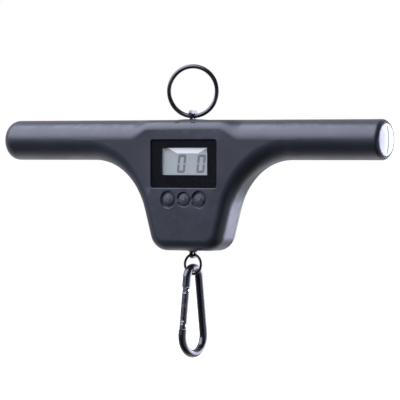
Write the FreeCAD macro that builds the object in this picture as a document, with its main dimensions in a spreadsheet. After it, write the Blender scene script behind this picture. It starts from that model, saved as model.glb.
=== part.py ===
import FreeCAD, Part
import math
import os
import re
import Sketcher

# A digital fish scale: a round bar handle with a flat body hanging from its middle, a hanging
# ring on top and a swivelling snap hook below. It is designed about the handle: X runs along
# the bar, Y to the back, Z up, and Z = 0 is the bar's axis. Every sub-part is then placed
# hang_height lower, so that the finished scale has its origin where its ring hangs on a hook.
# Lengths are in millimetres and angles in degrees.

DIMS = {
    # handle bar and hanging body
    "bar_radius": 14.0,
    "bar_left": 150.3,
    "bar_right": 150.6,
    "left_round": 9.0,
    "right_round": 3.6,
    "wall": 2.2,
    "blend_end": 87.0,
    "blend_start": 79.3,
    "blend_radius": 47.0,
    "taper": 15.0,
    "corner_radius": 13.0,
    "body_bottom": 77.3,
    "panel_half": 28.0,
    "shoulder_end": 43.5,
    "top_roll": 7.0,
    "side_roll": 7.5,
    "roll_slack": 0.1,
    "parting_back": 5.5,
    "parting_flat": 56.0,
    "seam": 0.3,
    "rise_height": 0.5,
    "rise_sink": 1.0,
    "rise_long": 23.0,
    "rise_wide": 9.0,
    "rise_top_long": 5.0,
    "rise_top_wide": 3.8,
    "rim_chamfer": 0.4,
    # window and display
    "window_width": 52.2,
    "window_height": 33.6,
    "window_top": 0.2,
    "window_corner": 1.6,
    "window_thick": 1.2,
    "window_recess": 0.3,
    "window_fit": 0.1,
    "window_gap": 0.05,
    "window_ledge": 2.2,
    "mask_thick": 0.15,
    "view_width": 36.8,
    "view_height": 18.9,
    "view_centre": 15.0,
    "lcd_margin": 2.2,
    "lcd_face": 10.8,
    "lcd_thick": 2.0,
    "frame_rim": 1.2,
    "frame_lip": 0.85,
    "frame_cover": 1.0,
    "backlight_thick": 1.8,
    "backlight_trim": 2.6,
    "zebra_low": 0.3,
    "zebra_high": 2.2,
    # buttons
    "button_pitch": 12.3,
    "button_height": 41.5,
    "button_radius": 4.4,
    "button_face": 14.2,
    "button_edge": 0.7,
    "button_dome": 0.8,
    "button_gap": 0.3,
    "well_outer": 5.9,
    "well_middle": 5.0,
    "well_floor": 12.8,
    "well_channel": 3.0,
    "flange_radius": 5.3,
    "flange_front": 11.5,
    "flange_back": 10.9,
    "stem_radius": 1.5,
    "stem_end": 9.2,
    "web_front": 9.9,
    "web_thick": 0.4,
    "web_side": 6.6,
    "web_half": 5.6,
    "web_corner": 2.0,
    "web_hole_gap": 0.7,
    # circuit board
    "board_front": 5.6,
    "board_thick": 1.4,
    "board_top": 1.0,
    "board_half": 32.0,
    "board_step": 30.0,
    "board_low_half": 26.5,
    "board_bottom": 54.0,
    "post_radius": 2.4,
    "post_top_x": 29.0,
    "post_top_z": 5.0,
    "post_low_x": 22.5,
    "post_low_z": 50.5,
    "board_screw_radius": 0.9,
    "board_hole_gap": 0.2,
    "board_screw_length": 5.2,
    "board_head_sink": 0.2,
    "board_head_radius": 1.7,
    "board_head_height": 1.0,
    "switch_size": 5.0,
    "switch_body": 2.4,
    "plunger_radius": 1.2,
    "plunger_length": 1.0,
    "plunger_out": 0.35,
    "chip_left": 16.0,
    "chip_low": 24.0,
    "chip_size": 9.0,
    "chip_thick": 1.4,
    "socket_left": 15.0,
    "socket_low": 46.0,
    "socket_length": 6.0,
    "socket_height": 4.0,
    "socket_thick": 2.2,
    "crystal_left": 24.0,
    "crystal_low": 42.0,
    "crystal_length": 8.0,
    "crystal_height": 3.4,
    "crystal_thick": 1.8,
    "passive_left": 28.0,
    "passive_low": 14.0,
    "passive_pitch": 3.4,
    "passive_row": 7.0,
    "passive_length": 2.0,
    "passive_height": 1.2,
    "passive_thick": 0.9,
    # shell screws
    "screw_radius": 1.25,
    "screw_fit": 0.02,
    "screw_clearance": 0.15,
    "boss_radius": 3.3,
    "boss_start": 12.2,
    "head_radius": 2.3,
    "head_depth": 2.0,
    "head_sink": 4.0,
    "screw_length": 14.0,
    "cross_length": 2.8,
    "cross_width": 0.6,
    "screw_low_x": 18.0,
    "screw_low_z": 68.0,
    "screw_side_x": 46.0,
    "screw_side_z": 15.0,
    "screw_top_x": 21.0,
    "screw_top_z": 5.0,
    "screw_arm_near": 100.0,
    "screw_arm_far": 136.0,
    # hanger, hanging ring and load cell
    "hanger_thick": 2.5,
    "hanger_depth": 6.2,
    "hanger_top": 20.8,
    "hanger_crown": 3.0,
    "hanger_shoulder": 19.2,
    "hanger_cheek": 17.2,
    "hanger_head": 4.3,
    "hanger_neck": 2.5,
    "neck_top": 15.1,
    "neck_bottom": 9.0,
    "hanger_bottom": 33.5,
    "eye_height": 16.7,
    "eye_radius": 2.0,
    "slot_gap": 0.25,
    "pin_radius": 2.0,
    "pin_height": 3.6,
    "pin_length": 27.0,
    "rib_inner": 5.0,
    "rib_thick": 3.0,
    "rib_bottom": 0.5,
    "rib_top": 12.5,
    "running_fit": 0.05,
    "ring_radius": 17.4,
    "ring_wire": 1.5,
    "ring_yaw": 13.0,
    "cell_half": 11.0,
    "cell_top": 28.0,
    "cell_bottom": 68.0,
    "cell_slot_top": 36.0,
    "cell_slot_bottom": 60.0,
    "cell_slot_end": 7.5,
    "cell_cut": 1.4,
    "cell_middle": 45.0,
    "cell_hole": 4.6,
    "strap_end_gap": 0.3,
    "nut_window": 5.2,
    "nut_window_top": 54.6,
    "bolt_radius": 1.5,
    "bolt_height": 31.0,
    "bolt_head": 2.6,
    "bolt_head_height": 2.0,
    "bolt_socket_depth": 1.2,
    "gauge_thick": 0.25,
    "gauge_width": 5.0,
    "gauge_height": 8.0,
    # hook shank
    "hook_yaw": -6.0,
    "shank_radius": 2.0,
    "shank_top": 56.2,
    "shank_end": 79.2,
    "shank_eye_height": 80.2,
    "shank_eye_top": 78.6,
    "shank_eye_bottom": 82.9,
    "shank_eye_radius": 2.3,
    "shank_eye_hole": 1.25,
    "shank_eye_thick": 3.0,
    "bush_radius": 3.6,
    "bush_tip": 2.9,
    "bush_flange": 5.5,
    "bush_flange_thick": 1.2,
    "bush_bottom": 78.3,
    "bush_fit": 0.08,
    "nut_radius": 3.9,
    "nut_height": 2.9,
    "washer_radius": 4.2,
    "washer_thick": 0.7,
    "washer_gap": 0.1,
    "lower_radius": 6.8,
    "lower_wire": 0.9,
    # snap hook
    "hook_wire": 2.9,
    "hook_top": 89.4,
    "hook_small": 7.3,
    "hook_large": 12.9,
    "hook_span": 40.1,
    "gate_hinge": 129.4,
    "gate_length": 26.9,
    "gate_radius": 2.55,
    "gate_gap": 0.4,
    "hinge_space": 3.0,
    "tongue": 2.4,
    "tongue_half": 2.2,
    "tongue_root": 0.2,
    "nose_inset": 0.3,
    "nose_length": 3.6,
    "tongue_reach": 2.2,
    "fork_gap": 3.0,
    "fork_depth": 3.2,
    "latch_depth": 4.4,
    "latch_pin_radius": 0.8,
    "latch_pin_place": 2.2,
    "latch_gap": 0.5,
    "gate_pin_radius": 0.9,
    "gate_pin_inset": 0.1,
    "latch_pin_inset": 0.3,
    "gate_spring_radius": 0.55,
    "gate_spring_wire": 0.15,
    "gate_spring_length": 5.0,
    "gate_spring_gap": 0.4,
    # battery compartment
    "tube_start": 38.4,
    "tube_floor": 1.4,
    "tube_inner": 7.4,
    "tube_outer": 8.8,
    "mouth_start": 138.5,
    "mouth_flare": 3.0,
    "mouth_end": 147.0,
    "mouth_floor": 142.0,
    "mouth_radius": 11.7,
    "mouth_bore": 10.2,
    "battery_radius": 7.15,
    "battery_length": 49.6,
    "nub_radius": 2.7,
    "nub_length": 0.9,
    "batteries_start": 41.4,
    "battery_spring_radius": 4.5,
    "battery_spring_wire": 0.35,
    "cap_radius": 11.4,
    "cap_base": 148.9,
    "cap_rim": 150.5,
    "cap_edge": 0.8,
    "cap_crown": 152.0,
    "cap_spigot": 9.9,
    "cap_spigot_start": 143.3,
    "contact_thick": 0.5,
    "contact_radius": 6.0,
    "coin_width": 1.8,
    "coin_radius": 44.0,
    "coin_depth": 2.3,
    "seal_wire": 0.7,
    "seal_gap": 0.1,
    "wire_radius": 0.6,
    "wire_bend": 4.0,
    "plus_depth": 3.0,
    "plus_drop": 3.5,
    "plus_corner": 24.5,
    "minus_depth": 4.5,
    "minus_drop": 6.5,
    "minus_corner": 20.0,
    "lead_radius": 0.35,
    "lead_length": 5.6,
    "lead_depth": 1.4,
    "lead_end": 2.0,
    "lead_drop": 43.4,
    "lead_spacing": 2.0,
    # finished frame
    "hang_height": 50.0,
}

DOC = FreeCAD.newDocument("fish_scale")
SHEET = DOC.addObject("Spreadsheet::Sheet", "Dims")
for row, (alias, size) in enumerate(DIMS.items(), start=1):
    SHEET.set(f"A{row}", alias)
    SHEET.set(f"B{row}", str(size))
    SHEET.setAlias(f"B{row}", alias)
DOC.recompute()

SUB_PARTS = []
# two points nearer than this are one point
TOUCH = 1e-6


# ---- small helpers over the sheet ----

def over_sheet(text):
    """An expression with each alias written as the sheet's own cell."""
    return re.sub(r"[a-z_][a-z_0-9]*", lambda m: "Dims." + m[0] if m[0] in DIMS else m[0], text)


def number(text):
    """The present value of an expression over the sheet."""
    return float(SHEET.evalExpression(over_sheet(text)))


def bind(obj, **expressions):
    """Bind properties of an object to expressions; __ in a name stands for a dot."""
    for name, text in expressions.items():
        obj.setExpression(name.replace("__", "."), over_sheet(text))


def point(x, y, z):
    return FreeCAD.Vector(number(x), number(y), number(z))


def sub_part(obj, label, x="0", z="0", yaw=None):
    """Name a finished piece and place it, turned by yaw about Z, in the scale's own frame."""
    obj.Label = label
    if yaw:
        obj.Placement = FreeCAD.Placement(FreeCAD.Vector(), FreeCAD.Rotation(FreeCAD.Vector(0, 0, 1), 1))
        bind(obj, Placement__Rotation__Angle=yaw)
    bind(obj, Placement__Base__x=x, Placement__Base__z=f"{z} - hang_height")
    SUB_PARTS.append(obj)
    return obj


# ---- Part primitives and booleans ----
# A cutter runs 1 mm or more past each face that it opens.

AXIS_TURN = {
    "X": FreeCAD.Rotation(FreeCAD.Vector(0, 1, 0), 90),
    "Y": FreeCAD.Rotation(FreeCAD.Vector(1, 0, 0), -90),
    "Z": FreeCAD.Rotation(),
}


def at(obj, x, y, z):
    bind(obj, Placement__Base__x=x, Placement__Base__y=y, Placement__Base__z=z)
    return obj


def box(name, x, y, z, length, width, height):
    """A box from its lowest corner and its size along X, Y and Z."""
    obj = DOC.addObject("Part::Box", name)
    bind(obj, Length=length, Width=width, Height=height)
    return at(obj, x, y, z)


def centred_box(name, x, y, z, length, width, height):
    return box(name, f"{x} - ({length}) / 2", f"{y} - ({width}) / 2", f"{z} - ({height}) / 2",
               length, width, height)


def rod(name, axis, x, y, z, radius, length):
    """A cylinder from the centre of its first face, along +X, +Y or +Z."""
    obj = DOC.addObject("Part::Cylinder", name)
    obj.Placement.Rotation = AXIS_TURN[axis]
    bind(obj, Radius=radius, Height=length)
    return at(obj, x, y, z)


def cone(name, axis, x, y, z, first, second, length):
    """A cone frustum from the centre of its first face, placed as a rod is."""
    obj = DOC.addObject("Part::Cone", name)
    obj.Placement.Rotation = AXIS_TURN[axis]
    bind(obj, Radius1=first, Radius2=second, Height=length)
    return at(obj, x, y, z)


def torus(name, x, y, z, radius, wire, axis="Z"):
    obj = DOC.addObject("Part::Torus", name)
    obj.Placement.Rotation = AXIS_TURN[axis]
    bind(obj, Radius1=radius, Radius2=wire)
    return at(obj, x, y, z)


def cut(name, base, *tools):
    obj = DOC.addObject("Part::Cut", name)
    obj.Base = base
    obj.Tool = tools[0] if len(tools) == 1 else group(name + "_tools", *tools)
    return obj


def fuse(name, *shapes):
    obj = DOC.addObject("Part::MultiFuse", name)
    obj.Shapes = list(shapes)
    return obj


def group(name, *shapes):
    """Several shapes kept as separate solids of one object."""
    obj = DOC.addObject("Part::Compound", name)
    obj.Links = list(shapes)
    return obj


def common(name, base, tool):
    obj = DOC.addObject("Part::MultiCommon", name)
    obj.Shapes = [base, tool]
    return obj


# ---- sketches ----

def arc_middle(start, end, radius):
    """The middle of a short arc; a positive radius has its centre on the left of the chord."""
    chord = end - start
    half = chord.Length / 2
    rise = abs(radius) - math.sqrt(max(0, radius ** 2 - half ** 2))
    side = FreeCAD.Vector(chord.y, -chord.x, 0).normalize() * (rise if radius > 0 else -rise)
    return (start + end) / 2 + side


def draw(sketch, outline):
    """Draw a closed outline of (x, y) or (x, y, radius) points, each bound to its expressions.

    The radius belongs to the arc that runs on to the next point, positive with its centre on the left.
    """
    spots = [point(corner[0], corner[1], "0") for corner in outline]
    first = sketch.GeometryCount
    for i, corner in enumerate(outline):
        here, there = spots[i], spots[(i + 1) % len(spots)]
        if len(corner) == 3:
            middle = arc_middle(here, there, number(corner[2]))
            sketch.addGeometry(Part.Arc(here, middle, there), False)
        else:
            sketch.addGeometry(Part.LineSegment(here, there), False)
    for i, corner in enumerate(outline):
        geo = first + i
        # an arc keeps its own sense, so its start may be either end of the side
        start = 1 if (sketch.getPoint(geo, 1) - spots[i]).Length < TOUCH else 2
        before = first + (i - 1) % len(outline)
        end = 1 if (sketch.getPoint(before, 1) - spots[i]).Length < TOUCH else 2
        sketch.addConstraint(Sketcher.Constraint("Coincident", before, end, geo, start))
        for kind, text in (("DistanceX", corner[0]), ("DistanceY", corner[1])):
            index = sketch.addConstraint(Sketcher.Constraint(kind, -1, 1, geo, start, number(text)))
            sketch.setExpression(f"Constraints[{index}]", over_sheet(text))
        if len(corner) == 3:
            size = abs(number(corner[2]))
            index = sketch.addConstraint(Sketcher.Constraint("Radius", geo, size))
            sketch.setExpression(f"Constraints[{index}]", over_sheet(f"abs({corner[2]})"))
    return sketch


def draw_circle(sketch, x, y, radius):
    geo = sketch.addGeometry(Part.Circle(point(x, y, "0"), FreeCAD.Vector(0, 0, 1), number(radius)), False)
    index = sketch.addConstraint(Sketcher.Constraint("Radius", geo, number(radius)))
    sketch.setExpression(f"Constraints[{index}]", over_sheet(radius))
    for kind, text in (("DistanceX", x), ("DistanceY", y)):
        index = sketch.addConstraint(Sketcher.Constraint(kind, -1, 1, geo, 3, number(text)))
        sketch.setExpression(f"Constraints[{index}]", over_sheet(text))
    return sketch


PLANE_TURN = {
    "XY_Plane": FreeCAD.Rotation(),
    "XZ_Plane": FreeCAD.Rotation(FreeCAD.Vector(1, 0, 0), 90),
    "YZ_Plane": FreeCAD.Rotation(FreeCAD.Vector(1, 1, 1), 120),
}


def loose_sketch(name, plane, outline):
    """A sketch on a principal plane, outside any body."""
    sketch = DOC.addObject("Sketcher::SketchObject", name)
    sketch.Placement.Rotation = PLANE_TURN[plane]
    return draw(sketch, outline)


def extrude(name, sketch, forward, back="0", flare=0):
    """Extrude along the sketch's normal, flared by an angle, and back the other way."""
    obj = DOC.addObject("Part::Extrusion", name)
    obj.Base = sketch
    obj.DirMode = "Normal"
    obj.Solid = True
    obj.TaperAngle = flare
    bind(obj, LengthFwd=forward, LengthRev=back)
    return obj


def new_body(name):
    return DOC.addObject("PartDesign::Body", name)


def origin_feature(body, role):
    return next(f for f in body.Origin.OriginFeatures if f.Role == role)


def sketch_in(body, role, offset=None):
    """A sketch on one of the body's own origin planes, offset along the plane's normal."""
    sketch = body.newObject("Sketcher::SketchObject", body.Name + "_sketch")
    sketch.AttachmentSupport = [(origin_feature(body, role), "")]
    sketch.MapMode = "FlatFace"
    if offset:
        bind(sketch, AttachmentOffset__Base__z=offset)
    return sketch


def pad(body, sketch, length, reversed_way=False, midplane=False):
    feature = body.newObject("PartDesign::Pad", body.Name + "_pad")
    feature.Profile = sketch
    feature.Reversed = reversed_way
    feature.Midplane = midplane
    bind(feature, Length=length)
    DOC.recompute()
    return feature


def pocket(body, sketch, length, reversed_way=False, midplane=False):
    """A pocket, checked to have removed something."""
    before = body.Shape.Volume
    feature = body.newObject("PartDesign::Pocket", body.Name + "_pocket")
    feature.Profile = sketch
    feature.Reversed = reversed_way
    feature.Midplane = midplane
    bind(feature, Length=length)
    DOC.recompute()
    if not body.Shape.Volume < before - TOUCH:
        raise RuntimeError(f"{feature.Name} cuts nothing")
    return feature


def revolve(body, sketch, axis_role):
    feature = body.newObject("PartDesign::Revolution", body.Name + "_turned")
    feature.Profile = sketch
    feature.ReferenceAxis = (origin_feature(body, axis_role), [""])
    feature.Angle = 360
    DOC.recompute()
    return feature


def turned_body(name, outline, axis_role="X_Axis", role="XY_Plane"):
    """A body turned about one of its origin axes from a half outline."""
    body = new_body(name)
    sketch = draw(sketch_in(body, role), outline)
    revolve(body, sketch, axis_role)
    return body


def plate_body(name, outline, front, thick):
    """A flat body in the XZ plane whose front face is `front` in front of the middle."""
    body = new_body(name)
    sketch = draw(sketch_in(body, "XZ_Plane", front), outline)
    pad(body, sketch, thick, reversed_way=True)
    return body


def rectangle(left, bottom, right, top):
    return [(left, bottom), (right, bottom), (right, top), (left, top)]


def rounded_rectangle(left, bottom, right, top, corner):
    return [
        (f"{left} + {corner}", bottom), (f"{right} - {corner}", bottom, corner),
        (right, f"{bottom} + {corner}"), (right, f"{top} - {corner}", corner),
        (f"{right} - {corner}", top), (f"{left} + {corner}", top, corner),
        (left, f"{top} - {corner}"), (left, f"{bottom} + {corner}", corner),
    ]


# ---- housing ----

def tee_outline(inset):
    """The hanging body and its concave blends into the bar, drawn `inset` inside the outer face."""
    radius = f"(blend_radius + {inset})"
    corner = f"(corner_radius - {inset})"
    top, bottom = f"bar_radius - {inset}", f"{inset} - bar_radius"
    side_x = f"(blend_start - {radius} * cos(taper))"
    side_z = f"({radius} * sin(taper) - bar_radius - blend_radius)"
    centre_z = "(corner_radius - body_bottom)"
    centre_x = f"({side_x} + (({centre_z} - {side_z}) * sin(taper) - {corner}) / cos(taper))"
    low_x, low_z = f"({centre_x} + {corner} * cos(taper))", f"{centre_z} - {corner} * sin(taper)"
    return [
        (centre_x, f"{centre_z} - {corner}", corner),
        (low_x, low_z),
        (side_x, side_z, f"-{radius}"),
        ("blend_start", bottom),
        ("blend_end", bottom),
        ("blend_end", top),
        ("shoulder_end", top),
        ("panel_half", top),
        ("-panel_half", top),
        ("-shoulder_end", top),
        ("-blend_end", top),
        ("-blend_end", bottom),
        ("-blend_start", bottom, f"-{radius}"),
        (f"-{side_x}", side_z),
        (f"-{low_x}", low_z, corner),
        (f"-{centre_x}", f"{centre_z} - {corner}"),
    ]


def roll_radius(spot):
    """The edge roll of the hanging body: tight at the panel, as round as the bar at the arms."""
    arm = number("bar_radius - roll_slack")
    if spot.z > 0:
        return arm if abs(spot.x) > number("panel_half") + 1 else number("top_roll")
    return arm if abs(spot.x) > number("blend_start") - 1 else number("side_roll")


def rolled_tee(name, inset):
    """The hanging body with front and rear edges rolled by a radius that varies along them."""
    depth = f"bar_radius - {inset}"
    sketch = loose_sketch(name + "_outline", "XZ_Plane", tee_outline(inset))
    block = extrude(name + "_block", sketch, depth, depth)
    DOC.recompute()
    rolls = []
    for index, edge in enumerate(block.Shape.Edges, start=1):
        start, end = edge.Vertexes[0].Point, edge.Vertexes[-1].Point
        on_face = abs(abs(start.y) - number(depth)) < TOUCH and abs(start.y - end.y) < TOUCH
        if on_face and abs(start.x - end.x) > TOUCH:
            less = number(inset)
            rolls.append((index, roll_radius(start) - less, roll_radius(end) - less))
    obj = DOC.addObject("Part::Fillet", name)
    obj.Base = block
    obj.Edges = rolls
    return obj


def bar(name, inset, right):
    """The handle bar, turned about X, with its right end at `right`."""
    left, radius = f"({inset} - bar_left)", f"(bar_radius - {inset})"
    round_left = f"(left_round - {inset})"
    outline = [(left, "0"), (right, "0")]
    if inset == "0":
        outline += [(right, f"{radius} - right_round", "right_round"), (f"{right} - right_round", radius)]
    else:
        outline += [(right, radius)]
    outline += [(f"{left} + {round_left}", radius, round_left), (left, f"{radius} - {round_left}")]
    return turned_body(name, outline)


SCREW_PAIRS = [
    ("screw_low_x", "-screw_low_z"),
    ("screw_side_x", "-screw_side_z"),
    ("screw_top_x", "screw_top_z"),
]
SCREWS = [(sign + x, z) for x, z in SCREW_PAIRS for sign in ("", "-")]
SCREWS += [("-screw_arm_near", "0"), ("-screw_arm_far", "0")]


def parting_y(x):
    """The depth of the seam at a screw: behind the middle in the body, level with the axis in the arms."""
    return "0" if "arm" in x else "parting_back"


def half_prism(name, side, seam):
    """All the space in front of ("-") or behind ("") the parting, which steps back in the hanging body."""
    reach, deep, back = "(bar_left + 5)", "(bar_radius + 5)", f"(parting_back + {seam})"
    outline = [
        (reach, seam), ("blend_end", seam), ("parting_flat", back),
        ("-parting_flat", back), ("-blend_end", seam),
        (f"-{reach}", seam), (f"-{reach}", f"{side}{deep}"), (reach, f"{side}{deep}"),
    ]
    return extrude(name, loose_sketch(name + "_outline", "XY_Plane", outline), deep, "body_bottom + 5")


def rise_wedge(way, plane, reach):
    """A low trapezoid on top of the bar, sloping both ways along X ("long") or Y ("wide")."""
    base, crown = "bar_radius - rise_sink", "bar_radius + rise_height"
    foot, head = f"rise_{way}", f"rise_top_{way}"
    outline = [(f"-{foot}", base), (foot, base), (head, crown), (f"-{head}", crown)]
    return extrude(f"rise_{way}", loose_sketch(f"rise_{way}_outline", plane, outline), reach, reach)


def hollow_housing():
    """The whole skin before it is parted: bar, body and the low rise round the hanger, made hollow."""
    rise = common("rise", rise_wedge("long", "XZ_Plane", "rise_wide"),
                  rise_wedge("wide", "YZ_Plane", "rise_long"))
    outer = fuse("outer", bar("bar_outer", "0", "bar_right"), rolled_tee("tee_outer", "0"), rise)
    inner = fuse("inner", bar("bar_inner", "wall", "bar_right + 1"), rolled_tee("tee_inner", "wall"))
    return cut("skin", outer, inner)


POST_PAIRS = [("post_top_x", "-post_top_z"), ("post_low_x", "-post_low_z")]
BOARD_SCREWS = [(sign + x, z) for x, z in POST_PAIRS for sign in ("", "-")]
BUTTONS = [
    ("left", "-button_pitch", "well_outer"),
    ("middle", "0", "well_middle"),
    ("right", "button_pitch", "well_outer"),
]


def window_cutters():
    """A pocket for the window with a chamfered mouth, and a ledge behind it."""
    floor = "window_recess + window_thick + mask_thick + window_gap"
    gap = "window_fit"
    outline = rounded_rectangle(
        f"-window_width / 2 - {gap}", f"window_top - window_height - {gap}",
        f"window_width / 2 + {gap}", f"window_top + {gap}", "window_corner")
    mouth = loose_sketch("window_mouth_outline", "XZ_Plane", outline)
    at(mouth, "0", "rim_chamfer - bar_radius", "0")
    return [
        extrude("window_pocket", loose_sketch("window_pocket_outline", "XZ_Plane", outline),
                "bar_radius + 1", f"{floor} - bar_radius"),
        extrude("window_mouth", mouth, "rim_chamfer + 1", flare=45),
        box("window_opening", "window_ledge - window_width / 2", "-bar_radius",
            "window_top - window_height + window_ledge", "window_width - 2 * window_ledge", "wall + 1",
            "window_height - 2 * window_ledge"),
    ]


def button_cutters():
    """Three round wells with chamfered mouths, joined by a channel, each with a hole for its button."""
    sunk = "bar_radius + 1 - well_floor"
    cutters = [box("well_channel", "-button_pitch", "-bar_radius - 1", "-button_height - well_channel / 2",
                   "2 * button_pitch", sunk, "well_channel")]
    for side, x, radius in BUTTONS:
        cutters.append(rod(f"well_{side}", "Y", x, "-bar_radius - 1", "-button_height", radius, sunk))
        cutters.append(cone(f"well_mouth_{side}", "Y", x, "-bar_radius - 1", "-button_height",
                            f"{radius} + rim_chamfer + 1", radius, "rim_chamfer + 1"))
        cutters.append(rod(f"button_hole_{side}", "Y", x, "-bar_radius", "-button_height",
                           "button_radius + button_gap", "wall + 1"))
    return cutters


def front_shell(skin):
    start, thread = "-boss_start", "bar_radius - head_sink - head_depth - screw_length"
    inside = [rod(f"front_boss_{i}", "Y", x, start, z, "boss_radius", f"boss_start + {parting_y(x)}")
              for i, (x, z) in enumerate(SCREWS)]
    inside += [rod(f"post_{i}", "Y", x, start, z, "post_radius", "boss_start - board_front")
               for i, (x, z) in enumerate(BOARD_SCREWS)]
    inside += [box(f"rib_{i}", x, start, "-rib_bottom", "rib_thick", "boss_start + parting_back",
                   "rib_bottom + rib_top") for i, x in enumerate(("rib_inner", "-rib_inner - rib_thick"))]
    holes = [rod(f"thread_{i}", "Y", x, thread, z, "screw_radius + screw_fit", "screw_length + 1")
             for i, (x, z) in enumerate(SCREWS)]
    holes += [rod(f"post_thread_{i}", "Y", x, "-board_front - 4", z, "board_screw_radius + screw_fit", "5")
              for i, (x, z) in enumerate(BOARD_SCREWS)]
    holes.append(rod("pin_saddle", "X", "-pin_length / 2", "0", "pin_height", "pin_radius + running_fit",
                     "pin_length"))
    holes.append(centred_box("hanger_slot", "0", "0", "bar_radius", "hanger_thick + 2 * slot_gap",
                             "hanger_depth + 2 * slot_gap", "3 * wall"))
    holes.append(rod("bush_hole", "Z", "0", "0", "-body_bottom - 1", "bush_radius", "wall + 2"))
    face = cut("front_face", common("front_half", skin, half_prism("front_space", "-", "0")),
               *window_cutters(), *button_cutters())
    return sub_part(cut("front", fuse("front_filled", face, *inside), *holes), "front_shell")


def rear_shell(skin):
    head_floor = "bar_radius - head_sink - head_depth"
    bosses, holes = [], []
    for i, (x, z) in enumerate(SCREWS):
        seam = parting_y(x)
        bosses.append(rod(f"rear_boss_{i}", "Y", x, seam, z, "boss_radius", f"boss_start - {seam}"))
        for kind, start in (("head", head_floor), ("screw", "-1")):
            holes.append(rod(f"{kind}_hole_{i}", "Y", x, start, z, f"{kind}_radius + screw_clearance",
                             "bar_radius"))
    half = common("rear_half", skin, half_prism("rear_space", "", "seam"))
    return sub_part(cut("rear", fuse("rear_filled", half, *bosses), *holes), "rear_shell")


def screw(name, x, z):
    """A pan-head screw driven from the back, with a cross recess."""
    floor = "bar_radius - head_sink - head_depth"
    head = rod(name + "_head", "Y", x, floor, z, "head_radius", "head_depth")
    shank = rod(name + "_shank", "Y", x, f"{floor} - screw_length", z, "screw_radius", "screw_length + 0.5")
    top = "bar_radius - head_sink"
    level = centred_box(f"{name}_bar_0", x, top, z, "cross_length", "head_depth", "cross_width")
    upright = centred_box(f"{name}_bar_1", x, top, z, "cross_width", "head_depth", "cross_length")
    return cut(name, fuse(name + "_blank", head, shank), level, upright)


def shell_screws():
    screws = [screw(f"screw_{i}", x, z) for i, (x, z) in enumerate(SCREWS)]
    return sub_part(group("screws", *screws), "shell_screws")


# ---- window and display ----

WINDOW_OUTLINE = rounded_rectangle(
    "-window_width / 2", "window_top - window_height", "window_width / 2", "window_top", "window_corner")


def display_window():
    body = plate_body("window", WINDOW_OUTLINE, "bar_radius - window_recess", "window_thick")
    return sub_part(body, "display_window")


def view_rectangle(margin, lower_trim="0"):
    """The outline of the visible part of the display, grown by a margin."""
    half, tall = f"(view_width / 2 + {margin})", f"(view_height / 2 + {margin})"
    return rectangle(f"-{half}", f"-view_centre - {tall} + {lower_trim}", half, f"{tall} - view_centre")


def window_mask():
    """The black print behind the window, open over the display."""
    body = new_body("mask")
    front = "bar_radius - window_recess - window_thick"
    sketch = draw(sketch_in(body, "XZ_Plane", front), WINDOW_OUTLINE)
    draw(sketch, view_rectangle("0"))
    pad(body, sketch, "mask_thick", reversed_way=True)
    return sub_part(body, "window_mask")


def lcd_glass():
    return sub_part(plate_body("glass", view_rectangle("lcd_margin"), "lcd_face", "lcd_thick"), "lcd_glass")


def backlight_panel():
    outline = view_rectangle("lcd_margin", "backlight_trim")
    panel = plate_body("backlight", outline, "lcd_face - lcd_thick", "backlight_thick")
    return sub_part(panel, "backlight_panel")


def zebra_strip():
    """The rubber strip that joins the glass to the board, along the glass's lower edge."""
    bottom = "(-view_centre - view_height / 2 - lcd_margin)"
    outline = rectangle("-view_width / 2", f"{bottom} + zebra_low",
                        "view_width / 2", f"{bottom} + zebra_high")
    strip = plate_body("zebra", outline, "lcd_face - lcd_thick", "lcd_face - lcd_thick - board_front")
    return sub_part(strip, "zebra_strip")


def lcd_frame():
    """A bezel that clamps the glass to the board, open to the front and to the back."""
    lip = "lcd_face + frame_lip"
    body = new_body("bezel")
    sketch = draw(sketch_in(body, "XZ_Plane", lip), view_rectangle("lcd_margin + frame_rim"))
    draw(sketch, view_rectangle("frame_cover"))
    pad(body, sketch, f"{lip} - board_front", reversed_way=True)
    inner = sketch_in(body, "XZ_Plane", "lcd_face + running_fit")
    draw(inner, view_rectangle("lcd_margin + running_fit"))
    pocket(body, inner, "lcd_face")
    return sub_part(body, "lcd_frame")


# ---- buttons ----

def button(side, x):
    """A domed round cap on a retaining flange, with a stem that presses its switch."""
    edge, reach, rise = "button_edge", "(button_radius - button_edge)", "button_dome"
    dome = f"({reach} * {reach} + {rise} * {rise}) / (2 * {rise})"
    outline = [
        ("0", "-button_face", dome),
        (reach, f"{rise} - button_face", edge),
        ("button_radius", f"{edge} + {rise} - button_face"),
        ("button_radius", "-flange_front"),
        ("flange_radius", "-flange_front"),
        ("flange_radius", "-flange_back"),
        ("stem_radius", "-flange_back"),
        ("stem_radius", "-stem_end"),
        ("0", "-stem_end"),
    ]
    body = turned_body(f"button_{side}_body", outline, "Y_Axis")
    return sub_part(body, f"button_{side}", x=x, z="-button_height")


def keypad_web():
    """A silicone sheet behind the flanges, pierced for the stems."""
    body = new_body("web")
    sketch = draw(sketch_in(body, "XZ_Plane", "web_front"), rounded_rectangle(
        "-button_pitch - web_side", "-button_height - web_half",
        "button_pitch + web_side", "web_half - button_height", "web_corner"))
    for _, x, _ in BUTTONS:
        draw_circle(sketch, x, "-button_height", "stem_radius + web_hole_gap")
    pad(body, sketch, "web_thick", reversed_way=True)
    return sub_part(body, "keypad_web")


# ---- circuit board ----

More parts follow.
